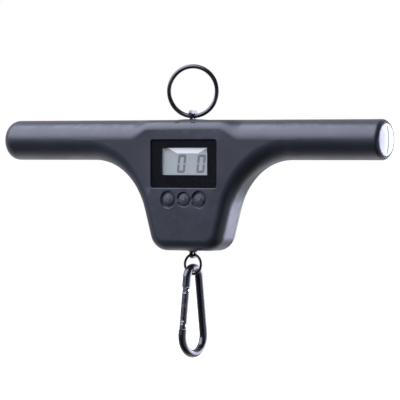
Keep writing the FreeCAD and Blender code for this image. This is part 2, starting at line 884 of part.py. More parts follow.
def circuit_board():
    """The board, narrower at its foot, with a hole for each of its four screws."""
    body = new_body("board")
    outline = [
        ("-board_low_half", "-board_bottom"), ("board_low_half", "-board_bottom"),
        ("board_half", "-board_step"), ("board_half", "-board_top"),
        ("-board_half", "-board_top"), ("-board_half", "-board_step"),
    ]
    sketch = draw(sketch_in(body, "XZ_Plane", "board_front"), outline)
    for x, z in BOARD_SCREWS:
        draw_circle(sketch, x, z, "board_screw_radius + board_hole_gap")
    pad(body, sketch, "board_thick", reversed_way=True)
    return sub_part(body, "circuit_board")


def board_screws():
    back = "board_thick - board_front"
    screws = []
    for i, (x, z) in enumerate(BOARD_SCREWS):
        head = rod(f"board_head_{i}", "Y", x, back, z, "board_head_radius", "board_head_height")
        shank = rod(f"board_shank_{i}", "Y", x, f"{back} + board_head_sink - board_screw_length", z,
                    "board_screw_radius", "board_screw_length")
        screws.append(fuse(f"board_screw_{i}", head, shank))
    return sub_part(group("board_screw_set", *screws), "board_screws")


def tact_switches():
    """Three square switches, each with a round plunger in front of it."""
    switches = []
    middle, front = "-board_front - switch_body / 2", "-board_front - switch_body - plunger_out"
    for side, x, _ in BUTTONS:
        housing = centred_box(f"switch_{side}_housing", x, middle, "-button_height",
                              "switch_size", "switch_body", "switch_size")
        plunger = rod(f"switch_{side}_plunger", "Y", x, front, "-button_height",
                      "plunger_radius", "plunger_length")
        switches.append(fuse(f"switch_{side}", housing, plunger))
    return sub_part(group("switch_set", *switches), "tact_switches")


def processor_chip():
    chip = box("chip", "chip_left", "board_thick - board_front", "-chip_low",
               "chip_size", "chip_thick", "chip_size")
    return sub_part(group("chip_placed", chip), "processor_chip")


def board_parts():
    """Small components in three rows on the back of the board, the load-cell socket and the crystal."""
    back = "board_thick - board_front"
    parts = [box(f"passive_{row}_{i}", f"passive_pitch * {i} - passive_left", back,
                 f"-passive_low - passive_row * {row}", "passive_length", "passive_thick", "passive_height")
             for row in range(3) for i in range(4)]
    parts.append(box("gauge_socket", "socket_left", back, "-socket_low",
                     "socket_length", "socket_thick", "socket_height"))
    parts.append(box("crystal", "-crystal_left", back, "-crystal_low",
                     "crystal_length", "crystal_thick", "crystal_height"))
    return sub_part(group("board_part_set", *parts), "board_parts")


# ---- hanger and load cell ----

def top_hanger():
    """A flat strap: a wide head with an eye above the bar, a cross pin through the middle, and a foot
    bolted in the load cell."""
    body = new_body("strap")
    right = [
        ("hanger_depth / 2", "-hanger_bottom"), ("hanger_depth / 2", "neck_bottom"),
        ("hanger_neck", "neck_bottom + hanger_depth / 2 - hanger_neck"), ("hanger_neck", "neck_top"),
        ("hanger_head", "hanger_cheek"), ("hanger_head", "hanger_shoulder"), ("hanger_crown", "hanger_top"),
    ]
    left = [(f"-{y}", z) for y, z in reversed(right)]
    sketch = draw(sketch_in(body, "YZ_Plane"), right + left)
    draw_circle(sketch, "0", "eye_height", "eye_radius")
    draw_circle(sketch, "0", "pin_height", "pin_radius + running_fit")
    draw_circle(sketch, "0", "-bolt_height", "bolt_radius + running_fit")
    pad(body, sketch, "hanger_thick", midplane=True)
    return sub_part(body, "top_hanger")


def hanger_pin():
    pin = rod("pin", "X", "-pin_length / 2", "0", "pin_height", "pin_radius", "pin_length")
    return sub_part(group("pin_placed", pin), "hanger_pin")


def top_ring():
    wire = torus("ring", "0", "0", "eye_height + ring_radius", "ring_radius", "ring_wire", "Y")
    return sub_part(group("ring_turned", wire), "top_ring", yaw="ring_yaw")


def load_cell():
    """An S-shaped aluminium beam cell: two cuts from opposite sides leave a thin-walled middle."""
    block = centred_box("cell_block", "0", "0", "-(cell_bottom + cell_top) / 2", "2 * cell_half",
                        "hanger_depth", "cell_bottom - cell_top")
    front, through, width = "-hanger_depth / 2 - 1", "hanger_depth + 2", "cell_half + cell_slot_end + 1"
    cutters = [
        box("upper_cut", "-cell_half - 1", front, "-cell_slot_top - cell_cut / 2", width, through,
            "cell_cut"),
        box("lower_cut", "-cell_slot_end", front, "-cell_slot_bottom - cell_cut / 2", width, through,
            "cell_cut"),
        rod("flexure_hole", "Y", "0", front, "-cell_middle", "cell_hole", through),
        box("nut_space", "-nut_window", front, "-cell_slot_bottom", "2 * nut_window", through,
            "cell_slot_bottom - nut_window_top"),
        box("strap_slot", "-hanger_thick / 2 - running_fit", front, "-hanger_bottom - strap_end_gap",
            "hanger_thick + 2 * running_fit", through, "hanger_bottom"),
        rod("bolt_hole", "X", "-cell_half - 1", "0", "-bolt_height", "bolt_radius + screw_fit",
            "2 * cell_half + 2"),
        rod("shank_hole", "Z", "0", "0", "-cell_bottom - 1", "shank_radius + bush_fit",
            "cell_bottom + 2 - cell_slot_bottom"),
    ]
    return sub_part(cut("cell", block, *cutters), "load_cell")


def load_cell_bolt():
    """A cap screw across the top of the load cell, with a round socket in its head."""
    shank = rod("bolt_shank", "X", "-cell_half - 0.5", "0", "-bolt_height", "bolt_radius", "2 * cell_half")
    head = rod("bolt_head", "X", "-cell_half - bolt_head_height", "0", "-bolt_height", "bolt_head",
               "bolt_head_height")
    socket = rod("bolt_socket", "X", "-cell_half - bolt_head_height - 1", "0", "-bolt_height", "bolt_radius",
                 "bolt_socket_depth + 1")
    return sub_part(cut("bolt", fuse("bolt_blank", shank, head), socket), "load_cell_bolt")


def strain_gauges():
    """A foil gauge on each outer face of the load cell's thin middle."""
    place = "(cell_half + gauge_thick / 2)"
    gauges = [centred_box(name, x, "0", "-cell_middle", "gauge_thick", "gauge_width", "gauge_height")
              for name, x in (("gauge_right", place), ("gauge_left", f"-{place}"))]
    return sub_part(group("gauge_set", *gauges), "strain_gauges")


# ---- hook shank ----

def shank_bush():
    """A flanged collar in the floor of the body, with a conical nose below it."""
    bore, top = "shank_radius + bush_fit", "wall - body_bottom + bush_flange_thick"
    outline = [
        (bore, "-bush_bottom"), ("bush_tip", "-bush_bottom"), ("bush_radius", "-body_bottom"),
        ("bush_radius", "wall - body_bottom"), ("bush_flange", "wall - body_bottom"),
        ("bush_flange", top), (bore, top),
    ]
    return sub_part(turned_body("collar", outline, "Z_Axis", "XZ_Plane"), "shank_bush")


def hook_shank():
    """A turned stem with a flattened eye below the collar."""
    stem = rod("stem", "Z", "0", "0", "-shank_end", "shank_radius", "shank_end - shank_top")
    eye_plate = box("eye_plate", "-shank_eye_thick / 2", "-shank_eye_radius",
                    "shank_eye_radius - shank_eye_bottom", "shank_eye_thick", "2 * shank_eye_radius",
                    "shank_eye_bottom - shank_eye_radius - shank_eye_top")
    eye_round = rod("eye_round", "X", "-shank_eye_thick / 2", "0", "shank_eye_radius - shank_eye_bottom",
                    "shank_eye_radius", "shank_eye_thick")
    hole = rod("eye_hole", "X", "-shank_eye_thick", "0", "-shank_eye_height", "shank_eye_hole",
               "2 * shank_eye_thick")
    solid = cut("shank", fuse("shank_blank", stem, eye_plate, eye_round), hole)
    return sub_part(group("shank_turned", solid), "hook_shank", yaw="hook_yaw")


def shank_nut():
    """A hexagonal nut that keeps the stem up and turns with it."""
    seat = "washer_thick + washer_gap - cell_slot_bottom - cell_cut / 2"
    prism = DOC.addObject("Part::Prism", "nut_prism")
    prism.Polygon = 6
    bind(prism, Circumradius="nut_radius", Height="nut_height")
    at(prism, "0", "0", seat)
    bore = rod("nut_bore", "Z", "0", "0", f"{seat} - 1", "shank_radius", "nut_height + 2")
    return sub_part(group("nut_turned", cut("nut", prism, bore)), "shank_nut", yaw="hook_yaw")


def thrust_washer():
    """A washer under the nut, with two flats that clear the shells."""
    seat = "-cell_slot_bottom - cell_cut / 2"
    disc = rod("washer_disc", "Z", "0", "0", seat, "washer_radius", "washer_thick")
    trim = centred_box("washer_trim", "0", "0", seat, "3 * washer_radius", "hanger_depth + 2", "3")
    bore = rod("washer_bore", "Z", "0", "0", f"{seat} - 1", "shank_radius + bush_fit", "3")
    return sub_part(cut("washer", common("washer_flats", disc, trim), bore), "thrust_washer")


def lower_ring():
    wire = torus("small_ring", "0", "0", "-shank_eye_height - lower_radius", "lower_radius", "lower_wire",
                 "Y")
    return sub_part(group("small_ring_turned", wire), "lower_ring", yaw="hook_yaw")


# ---- snap hook ----
# The hook is a pear: a small bend above and a large one below, joined by straight legs. It is
# drawn in the YZ plane, with its gate in the front leg. Gate pieces are drawn about the hinge
# pin with Z up along that leg, and then leaned back with it.

LEAN = "asin((hook_large - hook_small) / hook_span)"


def leaning(obj):
    """Stand a piece that was drawn about the hinge pin on the slanting front leg."""
    below = "(hook_top + hook_small + hook_span - gate_hinge)"
    obj.Placement.Rotation = FreeCAD.Rotation(FreeCAD.Vector(-1, 0, 0), 1)
    bind(obj, Placement__Rotation__Angle=LEAN,
         Placement__Base__y=f"{below} * tan({LEAN}) - hook_large / cos({LEAN})",
         Placement__Base__z="-gate_hinge")
    return obj


def pear_loop():
    """The whole loop of the hook, swept along two bends and two legs."""
    body = new_body("loop")
    small_z, large_z = "(-hook_top - hook_small)", "(-hook_top - hook_small - hook_span)"
    small_x, large_x = f"hook_small * cos({LEAN})", f"hook_large * cos({LEAN})"
    small_y, large_y = f"{small_z} + hook_small * sin({LEAN})", f"{large_z} + hook_large * sin({LEAN})"
    outline = [
        ("0", f"{large_z} - hook_large", "hook_large"),
        (large_x, large_y),
        (small_x, small_y, "hook_small"),
        ("0", f"{small_z} + hook_small", "hook_small"),
        (f"-{small_x}", small_y),
        (f"-{large_x}", large_y, "hook_large"),
    ]
    spine = draw(sketch_in(body, "YZ_Plane"), outline)
    profile = draw_circle(sketch_in(body, "XZ_Plane"), "0", f"{large_z} - hook_large", "hook_wire")
    DOC.recompute()
    pipe = body.newObject("PartDesign::AdditivePipe", "loop_pipe")
    pipe.Profile = profile
    pipe.Spine = (spine, [f"Edge{i + 1}" for i in range(len(outline))])
    DOC.recompute()
    return body


def carabiner_body():
    """The loop less its gate, with a tongue at the hinge and a nose with its own tongue at the latch."""
    window = box("gate_window", "-hook_wire - 1", "-hook_wire - 1", "-hinge_space", "2 * hook_wire + 2",
                 "2 * hook_wire + 2", "gate_length + hinge_space")
    hinge_block = centred_box("hinge_block", "0", "0", "-hinge_space / 2", "tongue", "2 * tongue_half",
                              "hinge_space + 2 * tongue_root")
    hinge_round = rod("hinge_round", "X", "-tongue / 2", "0", "0", "tongue_reach", "tongue")
    nose = box("nose_tongue", "-tongue / 2", "-gate_radius + nose_inset", "gate_length - nose_length",
               "tongue", "2 * (gate_radius - nose_inset)", "nose_length + tongue_root")
    holes = [rod("hinge_hole", "X", "-tongue", "0", "0", "gate_pin_radius", "2 * tongue"),
             rod("latch_hole", "X", "-tongue", "0", "gate_length - latch_pin_place", "latch_pin_radius",
                 "2 * tongue")]
    tongues = cut("tongues", fuse("tongue_blanks", hinge_block, hinge_round, nose), *holes)
    solid = fuse("hook_frame", cut("open_loop", pear_loop(), leaning(group("window_leaning", window))),
                 leaning(group("tongues_leaning", tongues)))
    return sub_part(group("hook_turned", solid), "carabiner_body", yaw="hook_yaw")


def carabiner_gate():
    """A round bar, forked over the hinge tongue below and over the nose tongue above."""
    top = "gate_length - gate_gap"
    bar_blank = rod("gate_bar", "Z", "0", "0", "-gate_radius", "gate_radius", f"{top} + gate_radius")
    foot = rod("gate_foot", "X", "-gate_radius", "0", "0", "gate_radius", "2 * gate_radius")
    stem = box("gate_stem", "-gate_radius", "-gate_radius", "0", "2 * gate_radius", "2 * gate_radius", top)
    envelope = fuse("gate_envelope", foot, stem)
    side, deep = "-gate_radius - 1", "2 * gate_radius + 2"
    latch, notch = "gate_length - latch_pin_place", "latch_pin_radius + latch_gap"
    cutters = [
        box("hinge_fork", "-fork_gap / 2", side, side, "fork_gap", deep, "gate_radius + 1 + fork_depth"),
        box("latch_fork", "-fork_gap / 2", side, f"{top} - latch_depth", "fork_gap", deep, "latch_depth + 1"),
        box("latch_notch", side, side, f"{latch} - ({notch})", deep, "gate_radius + 1", f"2 * ({notch})"),
        rod("notch_round", "X", side, "0", latch, notch, deep),
        rod("gate_pin_hole", "X", side, "0", "0", "gate_pin_radius + running_fit", deep),
        rod("spring_bore", "Z", "0", "0", "fork_depth - 0.5", "gate_spring_radius + gate_spring_gap",
            "gate_spring_length + 1"),
    ]
    solid = cut("gate", common("gate_blank", bar_blank, envelope), *cutters)
    turned = group("gate_turned", leaning(group("gate_leaning", solid)))
    return sub_part(turned, "carabiner_gate", yaw="hook_yaw")


def hook_pin(name, label, z, radius, length):
    """A pin across the leg of the hook, at a height above the hinge."""
    pin = rod(name, "X", f"-({length}) / 2", "0", z, radius, length)
    return sub_part(group(name + "_turned", leaning(group(name + "_leaning", pin))), label, yaw="hook_yaw")


def coil(name, radius, wire, height, turns):
    """A round-wire compression spring standing on Z = 0."""
    helix = DOC.addObject("Part::Helix", name + "_helix")
    bind(helix, Radius=radius, Height=height, Pitch=f"({height}) / {turns}")
    section = DOC.addObject("Part::Circle", name + "_section")
    section.Placement.Rotation = FreeCAD.Rotation(FreeCAD.Vector(1, 0, 0), 90)
    bind(section, Radius=wire, Placement__Base__x=radius)
    sweep = DOC.addObject("Part::Sweep", name)
    sweep.Sections = [section]
    sweep.Spine = (helix, ["Edge1"])
    sweep.Solid = True
    sweep.Frenet = True
    return sweep


def gate_spring():
    spring = coil("small_coil", "gate_spring_radius", "gate_spring_wire", "gate_spring_length", 8)
    raised = at(group("small_coil_raised", spring), "0", "0", "fork_depth")
    turned = group("gate_spring_turned", leaning(group("gate_spring_leaning", raised)))
    return sub_part(turned, "gate_spring", yaw="hook_yaw")


# ---- battery compartment ----

def battery_tube():
    """A tube in the right arm, closed inside and flanged round its mouth."""
    outline = [
        ("tube_start", "0"), ("tube_start + tube_floor", "0"), ("tube_start + tube_floor", "tube_inner"),
        ("mouth_floor", "tube_inner"), ("mouth_floor", "mouth_bore"), ("mouth_end", "mouth_bore"),
        ("mouth_end", "mouth_radius"), ("mouth_start", "mouth_radius"),
        ("mouth_start - mouth_flare", "tube_outer"), ("tube_start", "tube_outer"),
    ]
    return sub_part(turned_body("tube", outline), "battery_tube")


def battery_cells():
    """Two AA cells end to end."""
    cells = []
    for i in range(2):
        start = f"batteries_start + {i} * (battery_length + nub_length)"
        can = rod(f"can_{i}", "X", start, "0", "0", "battery_radius", "battery_length")
        nub = rod(f"nub_{i}", "X", f"{start} + battery_length", "0", "0", "nub_radius", "nub_length")
        cells.append(fuse(f"cell_{i}", can, nub))
    return sub_part(group("cell_pair", *cells), "battery_cells")


def battery_spring():
    """The negative contact: one turn of wire between the tube's floor and the first cell."""
    reach = "batteries_start - tube_start - tube_floor - 2 * battery_spring_wire"
    spring = coil("contact_coil", "battery_spring_radius", "battery_spring_wire", reach, 1)
    turned = group("contact_coil_turned", spring)
    turned.Placement.Rotation = AXIS_TURN["X"]
    at(turned, "tube_start + tube_floor + battery_spring_wire", "0", "0")
    return sub_part(group("contact_coil_placed", turned), "battery_spring")


def battery_cap():
    """A domed screw cap on a spigot, with a coin slot across its face that is deepest at the middle."""
    rise, reach = "(cap_crown - cap_rim)", "(cap_radius - cap_edge)"
    dome = f"({reach} * {reach} + {rise} * {rise}) / (2 * {rise})"
    body = turned_body("cap_body", [
        ("cap_spigot_start", "0"), ("cap_crown", "0", dome), ("cap_rim", reach, "cap_edge"),
        ("cap_rim - cap_edge", "cap_radius"), ("cap_base", "cap_radius"), ("cap_base", "cap_spigot"),
        ("cap_spigot_start", "cap_spigot")])
    coin = rod("coin", "Y", "cap_crown + coin_radius - coin_depth", "-coin_width / 2", "0", "coin_radius",
               "coin_width")
    return sub_part(cut("cap", body, coin), "battery_cap")


def cap_contact():
    disc = rod("contact_disc", "X", "cap_spigot_start - contact_thick", "0", "0", "contact_radius",
               "contact_thick")
    return sub_part(group("contact_placed", disc), "cap_contact")


def cap_seal():
    """A sealing ring round the spigot, just under the cap's head."""
    ring = torus("seal", "cap_base - seal_wire - seal_gap", "0", "0", "cap_spigot + seal_wire + running_fit",
                 "seal_wire", "X")
    return sub_part(group("seal_placed", ring), "cap_seal")


# ---- wiring ----

def bent_wire(name, x, y, z, corner_x):
    """A wire that leaves along -X, turns forward at corner_x and ends on the back of the board."""
    back, bend = "(board_thick - board_front)", "wire_bend"
    start = f"{corner_x} + {bend}"
    along = rod(name + "_along", "X", start, y, z, "wire_radius", f"{x} - ({start})")
    down = rod(name + "_down", "Y", corner_x, back, z, "wire_radius", f"{y} - {bend} - {back}")
    elbow = torus(name + "_elbow", start, f"{y} - {bend}", z, bend, "wire_radius")
    elbow.Placement.Rotation = FreeCAD.Rotation(FreeCAD.Vector(0, 0, 1), 90)
    elbow.Angle3 = 90
    return fuse(name, along, down, elbow)


def battery_wires():
    """Two wires from the inner end of the battery tube to the back of the board."""
    wires = [bent_wire("plus_wire", "tube_start", "plus_depth", "-plus_drop", "plus_corner"),
             bent_wire("minus_wire", "tube_start", "minus_depth", "-minus_drop", "minus_corner")]
    return sub_part(group("battery_wire_pair", *wires), "battery_wires")


def gauge_wires():
    """Two leads from the gauge on the cell's right side, forward to the socket on the board."""
    start = "cell_half + gauge_thick"
    wires = []
    for i in range(2):
        z = f"-lead_drop - {i} * lead_spacing"
        lead = rod(f"gauge_lead_{i}", "X", start, "lead_depth", z, "lead_radius", "lead_length")
        drop = rod(f"gauge_drop_{i}", "Y", f"{start} + lead_length - lead_radius", "-lead_end", z,
                   "lead_radius", "lead_depth + lead_end + lead_radius")
        wires.append(fuse(f"gauge_wire_{i}", lead, drop))
    return sub_part(group("gauge_wire_pair", *wires), "gauge_wires")


# ---- the whole scale ----

PLAIN_MAKERS = [
    shell_screws, display_window, window_mask, lcd_glass, lcd_frame, backlight_panel, zebra_strip,
    circuit_board, processor_chip, board_parts, tact_switches, board_screws, keypad_web,
    top_hanger, hanger_pin, top_ring, load_cell, load_cell_bolt, strain_gauges,
    shank_bush, hook_shank, shank_nut, thrust_washer, lower_ring,
    carabiner_body, carabiner_gate, gate_spring,
    battery_tube, battery_cells, battery_spring, battery_cap, cap_contact, cap_seal,
    battery_wires, gauge_wires,
]


def build():
    skin = hollow_housing()
    front_shell(skin)
    rear_shell(skin)
    for make in PLAIN_MAKERS:
        make()
    for side, x, _ in BUTTONS:
        button(side, x)
    hook_pin("hinge_pin", "gate_pin", "0", "gate_pin_radius", "2 * gate_radius - gate_pin_inset")
    hook_pin("nose_pin", "latch_pin", "gate_length - latch_pin_place", "latch_pin_radius",
             "2 * gate_radius - latch_pin_inset")
    DOC.recompute()


def check():
    """Stop on any failed object, and on any sub-part without a sound solid."""
    for obj in DOC.Objects:
        if "Invalid" in obj.State or "Error" in obj.State:
            raise RuntimeError(f"{obj.Name} failed to recompute")
    for part in SUB_PARTS:
        shape = part.Shape
        if shape.isNull() or not shape.isValid() or not shape.Solids:
            raise RuntimeError(f"{part.Label} has no valid solid")
        box_now = shape.BoundBox
        print(f"{part.Label:18s} solids {len(shape.Solids):2d}  volume {shape.Volume:9.1f}  "
              f"z {box_now.ZMin:8.2f} to {box_now.ZMax:8.2f}")


def export():
    os.makedirs("parts", exist_ok=True)
    for part in SUB_PARTS:
        part.Shape.exportStep(f"parts/{part.Label}.step")


build()
check()
export()
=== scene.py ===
import math

import bmesh
import bpy
from mathutils import Matrix, Vector


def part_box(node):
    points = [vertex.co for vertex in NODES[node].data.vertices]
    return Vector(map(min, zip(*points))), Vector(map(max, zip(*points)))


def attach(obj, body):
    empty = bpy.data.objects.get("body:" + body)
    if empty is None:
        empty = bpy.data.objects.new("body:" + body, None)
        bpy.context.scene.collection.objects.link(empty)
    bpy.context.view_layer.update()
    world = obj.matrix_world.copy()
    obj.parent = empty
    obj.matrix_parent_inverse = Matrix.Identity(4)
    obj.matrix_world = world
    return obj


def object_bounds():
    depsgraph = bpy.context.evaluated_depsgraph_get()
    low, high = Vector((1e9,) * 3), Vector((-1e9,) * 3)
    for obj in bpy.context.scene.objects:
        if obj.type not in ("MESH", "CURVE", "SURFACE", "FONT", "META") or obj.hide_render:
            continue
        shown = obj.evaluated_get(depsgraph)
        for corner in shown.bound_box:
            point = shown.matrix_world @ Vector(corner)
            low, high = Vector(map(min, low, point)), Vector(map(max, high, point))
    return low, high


# Looks of a digital fish scale. Shapes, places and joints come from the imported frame; this script
# adds the display's figures, the raised marks on the buttons, materials, light, floor and camera.
# Lengths are in metres: MM turns a millimetre into one.

MM = 0.001
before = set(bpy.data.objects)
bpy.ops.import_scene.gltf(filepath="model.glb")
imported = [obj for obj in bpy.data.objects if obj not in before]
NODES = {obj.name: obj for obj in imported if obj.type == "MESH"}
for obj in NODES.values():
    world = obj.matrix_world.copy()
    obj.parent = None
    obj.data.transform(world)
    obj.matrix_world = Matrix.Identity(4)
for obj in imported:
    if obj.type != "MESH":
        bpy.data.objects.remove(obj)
CAD_BOX = [list(corner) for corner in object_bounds()]

VIEW_AZIMUTH = math.radians(29.0)
VIEW_WIDTH = 0.280
VIEW_DISTANCE = 2.4
AIM_RIGHT, AIM_UP = 0.0049, -0.092
CAMERA_RISE = 0.0335
CLIP_NEAR, CLIP_FAR = 0.05, 50.0
FLOOR_DROP = 0.06
FLOOR_RADIUS = 3.2
RIGHT = Vector((math.cos(VIEW_AZIMUTH), math.sin(VIEW_AZIMUTH), 0))
TOWARDS_VIEWER = Vector((math.sin(VIEW_AZIMUTH), -math.cos(VIEW_AZIMUTH), 0))

# Lamps: direction from the body's middle, size in metres and power in watts.
BODY_MIDDLE = Vector((0, 0, -0.09))
LAMP_DISTANCE = 1.6
LAMP_COLOUR = (0.77, 0.79, 1.0)
LAMPS = {
    "top_front": ((-0.45, -0.55, 0.70), (2.3, 1.95), 96),
    "right_back": ((0.56, 0.83, -0.02), (1.7, 1.2), 38),
    "right_fill": ((0.94, -0.10, -0.30), (1.9, 1.5), 9),
}

# The world's glow: level and low down by height, in front and behind by the view's direction.
LEVEL_GLOW, LOW_GLOW, LOW_FROM, LOW_FULL = 0.45, 1.0, -0.4, -0.75
FRONT_GLOW, BACK_GLOW, BACK_FROM, BACK_FULL = 0.04, 2.1, -0.15, 0.65

# The display's painted highlight: a trapezoid of emitted light hanging from the top of the visible part,
# standing in for studio light on the display.
VIEW_MARGIN = 2.2 * MM
PAINTED_HIGHLIGHT_CENTRE = 1.9 * MM
PAINTED_HIGHLIGHT_HALF = 15.8 * MM
PAINTED_HIGHLIGHT_DEPTH = 3.7 * MM
PAINTED_HIGHLIGHT_SLOPE = 0.5
PAINTED_HIGHLIGHT_SOFT = 0.35 * MM
PAINTED_HIGHLIGHT_STRENGTH = 0.55

# The display's figures, and the raised marks on the buttons' domed faces.
DIGIT_WIDTH, DIGIT_HEIGHT, STROKE = 4.6 * MM, 11.1 * MM, 1.75 * MM
DIGIT_CENTRES = (-2.8 * MM, 12.7 * MM)
DIGITS_BELOW = 1.6 * MM
SLANT = math.tan(math.radians(6.5))
SEGMENT_GAP = 0.07 * MM
MIDDLE_GAP = 0.38 * MM
CORNER_CUT = 0.75 * MM
SEGMENT_THICK, SEGMENT_CLEAR = 0.04 * MM, 0.01 * MM
BUTTON_REACH, BUTTON_DOME = 3.7 * MM, 0.8 * MM
BEAD_WIDTH, BEAD_LIFT, BEAD_SIDES = 0.48 * MM, 0.2 * MM, 10
MARK_RADIUS, MARK_STEPS = 1.35 * MM, 40

# Moulded edges are rounded by this much, and worn where the surface is sharper than the first value.
EDGE_ROUNDING = 0.3 * MM
WORN_FROM, WORN_FULL = 0.52, 0.62


# ---- node materials ----

class Tree:
    """A few short calls for building a node tree."""

    def __init__(self, tree):
        self.tree = tree

    def add(self, kind, **settings):
        """A node with its properties set by name, and its inputs by label in the `inputs` dict."""
        inputs = settings.pop("inputs", {})
        node = self.tree.nodes.new(kind)
        for name, value in settings.items():
            setattr(node, name, value)
        for name, value in inputs.items():
            if isinstance(value, bpy.types.NodeSocket):
                self.tree.links.new(value, node.inputs[name])
            else:
                node.inputs[name].default_value = value
        return node

    def noise(self, vector, scale, detail=3.0, roughness=0.55):
        node = self.add("ShaderNodeTexNoise",
                        inputs={"Vector": vector, "Scale": scale, "Detail": detail, "Roughness": roughness})
        return node.outputs["Fac"]

    def spread(self, value, low, high, start=0.3, end=0.7):
        """Stretch a value between start and end over low to high."""
        node = self.add("ShaderNodeMapRange", inputs={
            "Value": value, "From Min": start, "From Max": end, "To Min": low, "To Max": high})
        return node.outputs["Result"]

    def blend(self, factor, first, second):
        node = self.add("ShaderNodeMix", data_type="RGBA", inputs={"Factor": factor})
        for name, value in (("A", first), ("B", second)):
            socket = next(s for s in node.inputs if s.name == name and s.type == "RGBA")
            if isinstance(value, bpy.types.NodeSocket):
                self.tree.links.new(value, socket)
            else:
                socket.default_value = (*value, 1.0)
        return next(s for s in node.outputs if s.type == "RGBA")

    def math(self, operation, first, second=0.0):
        node = self.add("ShaderNodeMath", operation=operation)
        for index, value in enumerate((first, second)):
            if isinstance(value, bpy.types.NodeSocket):
                self.tree.links.new(value, node.inputs[index])
            else:
                node.inputs[index].default_value = value
        return node.outputs["Value"]

    def bump(self, height, distance, strength=1.0, under=None):
        inputs = {"Height": height, "Distance": distance, "Strength": strength}
        node = self.add("ShaderNodeBump", inputs=inputs)
        if under is not None:
            self.tree.links.new(under, node.inputs["Normal"])
        return node.outputs["Normal"]

    def soft_edges(self, radius):
        """A normal that rounds sharp edges by a small radius."""
        return self.add("ShaderNodeBevel", samples=4, inputs={"Radius": radius}).outputs["Normal"]


def material(name):
    """A new node material: its tree, its shader and the object coordinates."""
    made = bpy.data.materials.new(name)
    made.use_nodes = True
    tree = Tree(made.node_tree)
    shader = made.node_tree.nodes["Principled BSDF"]
    place = tree.add("ShaderNodeTexCoord").outputs["Object"]
    return made, tree, shader, place


def set_inputs(shader, **values):
    """Set or link shader inputs; an underscore stands for a space."""
    for name, value in values.items():
        socket = shader.inputs[name.replace("_", " ")]
        if isinstance(value, bpy.types.NodeSocket):
            shader.id_data.links.new(value, socket)
        else:
            socket.default_value = value


def moulded_plastic(name, dark, light, rough=(0.36, 0.46), grain=0.00003, grain_scale=2600.0, edge=0.25,
                    fleck=0.0):
    """Moulded plastic: slow colour drift, fine spark-eroded grain, and paler rubbed edges.

    The share `fleck` of the colour follows the grain, the rest drifts slowly.
    """
    made, tree, shader, place = material(name)
    drift = tree.noise(place, scale=22.0, detail=4.0)
    speckle = tree.noise(place, scale=grain_scale, detail=2.0)
    flecks = tree.spread(speckle, 0.0, fleck, start=0.35, end=0.65)
    tone = tree.math("ADD", tree.spread(drift, 0.0, 1.0 - fleck), flecks)
    sharpness = tree.add("ShaderNodeNewGeometry").outputs["Pointiness"]
    worn = tree.spread(sharpness, 0.0, edge, start=WORN_FROM, end=WORN_FULL)
    scratches = tree.spread(tree.noise(place, scale=160.0, detail=5.0), 0.2, 1.0, start=0.4, end=0.6)
    rubbed = tuple(min(1.0, channel * 3 + 0.02) for channel in light)
    colour = tree.blend(tree.math("MULTIPLY", worn, scratches), tree.blend(tone, dark, light), rubbed)
    smear = tree.spread(tree.noise(place, scale=48.0, detail=5.0, roughness=0.6), *rough)
    normal = tree.bump(speckle, grain, strength=0.6, under=tree.soft_edges(EDGE_ROUNDING))
    set_inputs(shader, Base_Color=colour, Roughness=smear, Normal=normal)
    return made


def steel(name, colour, rough=(0.2, 0.34), stretch=(1.0, 1.0, 1.0)):
    """Metal with fine drawing lines along one axis and a few dull patches."""
    made, tree, shader, place = material(name)
    drawn = tree.add("ShaderNodeMapping", inputs={"Vector": place, "Scale": stretch}).outputs["Vector"]
    lines = tree.noise(drawn, scale=900.0)
    patches = tree.noise(place, scale=70.0, detail=4.0)
    dull = tuple(channel * 0.8 for channel in colour)
    shade = tree.blend(tree.spread(patches, 0.0, 1.0), colour, dull)
    set_inputs(shader, Base_Color=shade, Metallic=1.0, Roughness=tree.spread(lines, *rough),
               Normal=tree.bump(lines, 0.000012, strength=0.5))
    return made


def black_enamel(name, colour, rough=(0.16, 0.3), coat=0.35):
    """Thin black finish on metal: glossy, slightly uneven, rubbed paler on its edges."""
    made, tree, shader, place = material(name)
    orange_peel = tree.noise(place, scale=520.0)
    scuffs = tree.noise(place, scale=210.0, detail=6.0, roughness=0.7)
    sharpness = tree.add("ShaderNodeNewGeometry").outputs["Pointiness"]
    worn = tree.spread(sharpness, 0.0, 0.5, start=0.53, end=0.66)
    rubbed = tree.math("MULTIPLY", worn, tree.spread(scuffs, 0.0, 1.0, start=0.45, end=0.65))
    set_inputs(shader, Base_Color=tree.blend(rubbed, colour, (0.16, 0.16, 0.17)),
               Roughness=tree.spread(scuffs, *rough), Coat_Weight=coat, Coat_Roughness=0.12,
               Normal=tree.bump(orange_peel, 0.00002, strength=0.5))
    return made


def window_glass():
    """A hard clear window with faint wiping marks."""
    made, tree, shader, place = material("clear_window")
    stretched = {"Vector": place, "Scale": (1.0, 1.0, 0.12)}
    wipes = tree.add("ShaderNodeMapping", inputs=stretched).outputs["Vector"]
    marks = tree.noise(wipes, scale=260.0, detail=4.0)
    set_inputs(shader, Base_Color=(0.93, 0.95, 0.97, 1.0), Roughness=tree.spread(marks, 0.02, 0.05),
               IOR=1.49, Transmission_Weight=1.0, Normal=tree.bump(marks, 0.000004, strength=0.3))
    return made


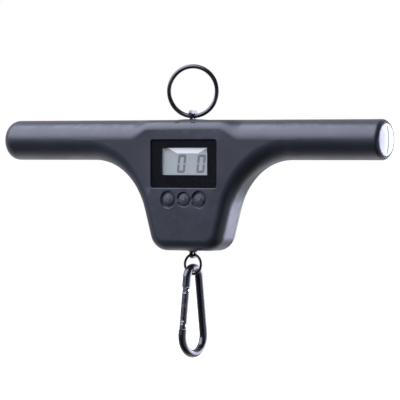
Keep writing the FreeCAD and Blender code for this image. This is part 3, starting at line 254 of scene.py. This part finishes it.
def liquid_crystal():
    """The grey reflective face of the display, with a painted highlight: a trapezoid of emitted light at its
    top, standing in for studio light on the display.
    """
    made, tree, shader, place = material("lcd_face")
    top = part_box("lcd_glass")[1].z
    cloud = tree.noise(place, scale=90.0)
    grain = tree.noise(place, scale=5200.0, detail=1.0)
    colour = tree.blend(tree.spread(cloud, 0.0, 1.0), (0.315, 0.335, 0.29), (0.345, 0.365, 0.32))
    # Painted highlight: a trapezoid hanging from the top of the visible part, given out as emission.
    parts = tree.add("ShaderNodeSeparateXYZ", inputs={"Vector": place}).outputs
    depth = tree.math("SUBTRACT", top - VIEW_MARGIN, parts["Z"])
    sideways = tree.math("ABSOLUTE", tree.math("SUBTRACT", parts["X"], PAINTED_HIGHLIGHT_CENTRE))
    slope = tree.math("MULTIPLY", tree.math("SUBTRACT", PAINTED_HIGHLIGHT_HALF, sideways), PAINTED_HIGHLIGHT_SLOPE)
    reach = tree.math("MINIMUM", slope, PAINTED_HIGHLIGHT_DEPTH)
    inside = tree.math("SUBTRACT", reach, depth)
    glow = tree.spread(inside, 0.0, PAINTED_HIGHLIGHT_STRENGTH, start=-PAINTED_HIGHLIGHT_SOFT, end=PAINTED_HIGHLIGHT_SOFT)
    set_inputs(shader, Base_Color=colour, Roughness=tree.spread(grain, 0.3, 0.42),
               Normal=tree.bump(grain, 0.000003, strength=0.4),
               Emission_Color=(0.93, 0.93, 1.0, 1.0), Emission_Strength=glow)
    return made


def ink(name, colour, rough=0.4):
    """Printed ink: one colour with a slight mottle."""
    made, tree, shader, place = material(name)
    mottle = tree.noise(place, scale=1500.0, detail=2.0)
    lighter = tuple(channel * 1.25 for channel in colour)
    set_inputs(shader, Base_Color=tree.blend(mottle, colour, lighter),
               Roughness=tree.spread(mottle, rough - 0.06, rough + 0.06),
               Normal=tree.bump(mottle, 0.000004, strength=0.4))
    return made


MATERIALS = {
    "housing": moulded_plastic("housing_plastic", (0.0130, 0.0160, 0.0192), (0.0172, 0.0208, 0.0255),
                               edge=0.6),
    "button": moulded_plastic("button_rubber", (0.008, 0.010, 0.011), (0.055, 0.060, 0.064), (0.56, 0.7),
                              0.0009, 1000.0, 0.5, fleck=0.8),
    "mark": moulded_plastic("worn_rubber", (0.050, 0.054, 0.058), (0.066, 0.070, 0.075), (0.5, 0.6), 0.0002,
                            1100.0, 0.5),
    "white": moulded_plastic("white_plastic", (0.90, 0.92, 0.94), (0.93, 0.95, 0.97), (0.24, 0.32), 0.00001,
                             2200.0, 0.0),
    "inner": moulded_plastic("inner_plastic", (0.008, 0.008, 0.009), (0.012, 0.012, 0.013)),
    "silicone": moulded_plastic("keypad_silicone", (0.16, 0.16, 0.16), (0.2, 0.2, 0.2), (0.5, 0.6)),
    "board": moulded_plastic("board_mask", (0.01, 0.09, 0.035), (0.015, 0.12, 0.05), (0.28, 0.4)),
    "component": moulded_plastic("component_resin", (0.015, 0.015, 0.016), (0.022, 0.022, 0.024),
                                 (0.4, 0.55)),
    "rubber": moulded_plastic("seal_rubber", (0.01, 0.01, 0.01), (0.016, 0.016, 0.016), (0.5, 0.65)),
    "diffuser": moulded_plastic("milky_diffuser", (0.68, 0.69, 0.66), (0.74, 0.75, 0.72), (0.4, 0.5)),
    "wire": moulded_plastic("wire_jacket", (0.32, 0.012, 0.012), (0.4, 0.02, 0.02), (0.35, 0.45)),
    "cell_jacket": moulded_plastic("cell_jacket", (0.03, 0.035, 0.05), (0.045, 0.05, 0.07), (0.25, 0.35)),
    "mask": ink("black_print", (0.004, 0.0045, 0.0055), 0.22),
    "segment": ink("lcd_segment", (0.108, 0.115, 0.112), 0.4),
    "glass": window_glass(),
    "lcd": liquid_crystal(),
    "ring": black_enamel("ring_finish", (0.010, 0.010, 0.011)),
    "hook": black_enamel("hook_finish", (0.011, 0.011, 0.012), (0.2, 0.32), 0.5),
    "nickel": steel("nickel_plate", (0.66, 0.66, 0.68), stretch=(1.0, 1.0, 12.0)),
    "zinc": steel("zinc_plate", (0.55, 0.56, 0.58), (0.28, 0.42), (10.0, 1.0, 1.0)),
    "aluminium": steel("milled_aluminium", (0.74, 0.75, 0.77), (0.25, 0.4), (1.0, 1.0, 14.0)),
    "contact": steel("contact_plate", (0.72, 0.58, 0.3), (0.25, 0.35)),
}

NODE_MATERIALS = {
    "housing": ("front_shell", "rear_shell"),
    "button": ("button_left", "button_middle", "button_right"),
    "white": ("battery_cap",),
    "inner": ("lcd_frame", "battery_tube", "shank_bush"),
    "silicone": ("keypad_web",),
    "board": ("circuit_board",),
    "component": ("processor_chip", "board_parts", "tact_switches", "strain_gauges"),
    "rubber": ("cap_seal", "zebra_strip"),
    "diffuser": ("backlight_panel",),
    "wire": ("battery_wires", "gauge_wires"),
    "cell_jacket": ("battery_cells",),
    "mask": ("window_mask",),
    "glass": ("display_window",),
    "lcd": ("lcd_glass",),
    "ring": ("top_ring", "lower_ring", "top_hanger", "hook_shank"),
    "hook": ("carabiner_body", "carabiner_gate"),
    "nickel": ("shank_nut", "thrust_washer", "hanger_pin"),
    "zinc": ("shell_screws", "board_screws", "load_cell_bolt", "gate_pin", "latch_pin", "gate_spring",
             "battery_spring"),
    "aluminium": ("load_cell",),
    "contact": ("cap_contact",),
}


def let_light_through():
    """Shadow and diffuse rays pass the window, so that the display behind it renders cleanly."""
    window = NODES["display_window"]
    window.visible_shadow = False
    window.visible_diffuse = False


def paint_nodes():
    """Give every node from the frame its material."""
    for kind, names in NODE_MATERIALS.items():
        for name in names:
            for slot in NODES[name].material_slots:
                slot.material = MATERIALS[kind]


# ---- mesh pieces ----

def piece(name, mesh_data, kind, body):
    """Put finished mesh data in the scene, painted and riding on a body."""
    obj = bpy.data.objects.new(name, mesh_data)
    bpy.context.scene.collection.objects.link(obj)
    obj.data.materials.append(MATERIALS[kind])
    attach(obj, body)
    return obj


def mesh_from(name, build):
    """Mesh data filled by a function of a new bmesh."""
    bm = bmesh.new()
    build(bm)
    bmesh.ops.recalc_face_normals(bm, faces=bm.faces)
    data = bpy.data.meshes.new(name)
    bm.to_mesh(data)
    bm.free()
    return data


def nought_outlines():
    """The six bars of a seven-segment nought, mitred where they meet and cut at the outer corners."""
    half, gap, corner = STROKE / 2, SEGMENT_GAP, CORNER_CUT
    width, height = DIGIT_WIDTH, DIGIT_HEIGHT
    top = [
        (corner - half, height + half), (width + half - corner, height + half),
        (width + half - corner / 2 - gap, height + half - corner / 2), (width - half - gap, height - half),
        (half + gap, height - half), (corner / 2 + gap - half, height + half - corner / 2),
    ]
    upper_left = [
        (-half, height / 2 + MIDDLE_GAP), (half, height / 2 + MIDDLE_GAP), (half, height - half - gap),
        (corner / 2 - half, height + half - corner / 2 - gap), (-half, height + half - corner),
    ]
    upper = [top, upper_left, [(width - x, y) for x, y in upper_left]]
    return upper + [[(x, height - y) for x, y in bar] for bar in upper]


def figure_builder(centres, level, front):
    """Build the figures' bars as thin raised plates on the display's face."""
    def build(bm):
        for centre in centres:
            for outline in nought_outlines():
                rim = []
                for y in (front, front + SEGMENT_THICK):
                    row = []
                    for x, up in outline:
                        lean = (up - DIGIT_HEIGHT / 2) * SLANT
                        place = (centre + x - DIGIT_WIDTH / 2 + lean, y, level + up - DIGIT_HEIGHT / 2)
                        row.append(bm.verts.new(place))
                    rim.append(row)
                bm.faces.new(rim[0])
                bm.faces.new(rim[1][::-1])
                for i in range(len(outline)):
                    j = (i + 1) % len(outline)
                    bm.faces.new((rim[0][i], rim[1][i], rim[1][j], rim[0][j]))
    return build


def make_figures():
    """Two noughts on the display."""
    low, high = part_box("lcd_glass")
    front = low.y - SEGMENT_THICK - SEGMENT_CLEAR
    middle = (low.z + high.z) / 2 - DIGITS_BELOW
    figures = mesh_from("lcd_figures", figure_builder(DIGIT_CENTRES, middle, front))
    piece("lcd_figures", figures, "segment", "housing")


def on_dome(x, z):
    """How far the dome of a button falls behind its crown at a place on its face."""
    reach, rise = BUTTON_REACH, BUTTON_DOME
    radius = (reach * reach + rise * rise) / (2 * rise)
    return radius - math.sqrt(radius * radius - x * x - z * z)


def raised_line(bm, centre, crown, path, closed=False):
    """A half-round bead along a path of (x, z) points on a button's domed face."""
    rows = []
    count = len(path)
    for i, (x, z) in enumerate(path):
        before = Vector(path[i - 1] if closed or i else path[0])
        after = Vector(path[(i + 1) % count] if closed or i + 1 < count else path[-1])
        across = Vector((-(after - before).y, (after - before).x)).normalized()
        row = []
        for turn in range(BEAD_SIDES):
            angle = 2 * math.pi * turn / BEAD_SIDES
            side, lift = BEAD_WIDTH / 2 * math.cos(angle), BEAD_LIFT * math.sin(angle)
            depth = crown + on_dome(x, z) - lift
            row.append(bm.verts.new((centre.x + x + across.x * side, depth, centre.z + z + across.y * side)))
        rows.append(row)
    for i in range(count if closed else count - 1):
        here, there = rows[i], rows[(i + 1) % count]
        for turn in range(BEAD_SIDES):
            other = (turn + 1) % BEAD_SIDES
            bm.faces.new((here[turn], there[turn], there[other], here[other]))
    if not closed:
        bm.faces.new(rows[0])
        bm.faces.new(rows[-1][::-1])


def mark_builder(low, high, lines):
    """Build beads along the given lines on a button whose box runs from low to high."""
    def build(bm):
        for path, closed in lines:
            raised_line(bm, (low + high) / 2, low.y, path, closed)
    return build


def make_button_marks():
    """Plain raised marks: a ring with a bar for the power button, two bars for the right-hand one."""
    turns = [math.radians(360 * step / MARK_STEPS) for step in range(MARK_STEPS)]
    ring = [(MARK_RADIUS * math.sin(turn), MARK_RADIUS * math.cos(turn)) for turn in turns]
    bar = [(0.0, z * MM) for z in (0.0, 0.35, 0.7)]
    pair = [[(x * MM, z * MM) for z in (-1.1, -0.4, 0.4, 1.1)] for x in (-0.75, 0.75)]
    marks = {"left": [(ring, True), (bar, False)], "right": [(path, False) for path in pair]}
    for side, lines in marks.items():
        name = f"button_{side}_mark"
        low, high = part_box(f"button_{side}")
        mark = piece(name, mesh_from(name, mark_builder(low, high, lines)), "mark", f"{side}_button")
        for face in mark.data.polygons:
            face.use_smooth = True


def make_camera():
    """A long lens at the height of the body, turned to the right of the display."""
    data = bpy.data.cameras.new("camera")
    camera = bpy.data.objects.new("camera", data)
    bpy.context.scene.collection.objects.link(camera)
    data.sensor_width = 36.0
    data.lens = data.sensor_width * VIEW_DISTANCE / VIEW_WIDTH
    aim = RIGHT * AIM_RIGHT + Vector((0, 0, AIM_UP))
    camera.location = aim + TOWARDS_VIEWER * VIEW_DISTANCE + Vector((0, 0, CAMERA_RISE))
    camera.rotation_euler = (aim - camera.location).to_track_quat("-Z", "Y").to_euler()
    data.clip_start, data.clip_end = CLIP_NEAR, CLIP_FAR
    bpy.context.scene.camera = camera


def make_lamps():
    """A large soft box above and in front of the display, another behind to the right, and a weak fill."""
    for name, (direction, size, power) in LAMPS.items():
        data = bpy.data.lights.new(name, "AREA")
        data.shape = "RECTANGLE"
        data.size, data.size_y = size
        data.energy = power
        data.color = LAMP_COLOUR
        lamp = bpy.data.objects.new(name, data)
        bpy.context.scene.collection.objects.link(lamp)
        lamp.location = BODY_MIDDLE + Vector(direction).normalized() * LAMP_DISTANCE
        lamp.visible_camera = False
        lamp.rotation_euler = (BODY_MIDDLE - lamp.location).to_track_quat("-Z", "Y").to_euler()


def make_world():
    """White for the eye, and a studio round the object: white behind and below, dim in front."""
    world = bpy.data.worlds.new("studio")
    bpy.context.scene.world = world
    world.use_nodes = True
    tree = Tree(world.node_tree)
    link = world.node_tree.links.new
    world.node_tree.nodes.clear()
    direction = tree.add("ShaderNodeTexCoord").outputs["Generated"]
    behind = tree.add("ShaderNodeVectorMath", operation="DOT_PRODUCT")
    link(direction, behind.inputs[0])
    behind.inputs[1].default_value = -TOWARDS_VIEWER
    height = tree.add("ShaderNodeSeparateXYZ", inputs={"Vector": direction}).outputs["Z"]
    below = tree.spread(height, LEVEL_GLOW, LOW_GLOW, LOW_FROM, LOW_FULL)
    backdrop = tree.spread(behind.outputs["Value"], FRONT_GLOW, BACK_GLOW, BACK_FROM, BACK_FULL)
    glow = {"Color": (0.90, 0.91, 1.0, 1.0), "Strength": tree.math("MULTIPLY", backdrop, below)}
    studio = tree.add("ShaderNodeBackground", inputs=glow)
    seen = tree.add("ShaderNodeBackground", inputs={"Color": (1.0, 1.0, 1.0, 1.0), "Strength": 1.0})
    ray = tree.add("ShaderNodeLightPath").outputs["Is Camera Ray"]
    both = tree.add("ShaderNodeMixShader", inputs={"Fac": ray})
    link(studio.outputs[0], both.inputs[1])
    link(seen.outputs[0], both.inputs[2])
    link(both.outputs[0], tree.add("ShaderNodeOutputWorld").inputs["Surface"])


def make_floor():
    """A pale floor below the hook, seen from above only; the studio's light stands for its glow."""
    level = Matrix.Translation((0, 0, CAD_BOX[0][2] - FLOOR_DROP))

    def build(bm):
        bmesh.ops.create_circle(bm, cap_ends=True, segments=96, radius=FLOOR_RADIUS, matrix=level)

    data = mesh_from("floor", build)
    floor = bpy.data.objects.new("floor", data)
    bpy.context.scene.collection.objects.link(floor)
    floor.visible_glossy = False
    floor.visible_diffuse = False
    made, tree, shader, place = material("pale_floor")
    tone = tree.spread(tree.noise(place, scale=6.0), 0.0, 1.0)
    pale = tree.blend(tone, (0.84, 0.85, 0.87), (0.88, 0.89, 0.90))
    set_inputs(shader, Base_Color=pale, Roughness=0.6, Emission_Color=(1.0, 1.0, 1.0, 1.0),
               Emission_Strength=0.75)
    above = tree.add("ShaderNodeNewGeometry").outputs["Backfacing"]
    clear = tree.add("ShaderNodeBsdfTransparent").outputs[0]
    one_way = tree.add("ShaderNodeMixShader", inputs={"Fac": above})
    tree.tree.links.new(shader.outputs[0], one_way.inputs[1])
    tree.tree.links.new(clear, one_way.inputs[2])
    out = made.node_tree.nodes["Material Output"]
    tree.tree.links.new(one_way.outputs[0], out.inputs["Surface"])
    floor.data.materials.append(made)


bpy.context.scene.view_settings.view_transform = "Standard"
make_camera()
make_lamps()
make_world()
make_floor()
paint_nodes()
let_light_through()
make_figures()
make_button_marks()
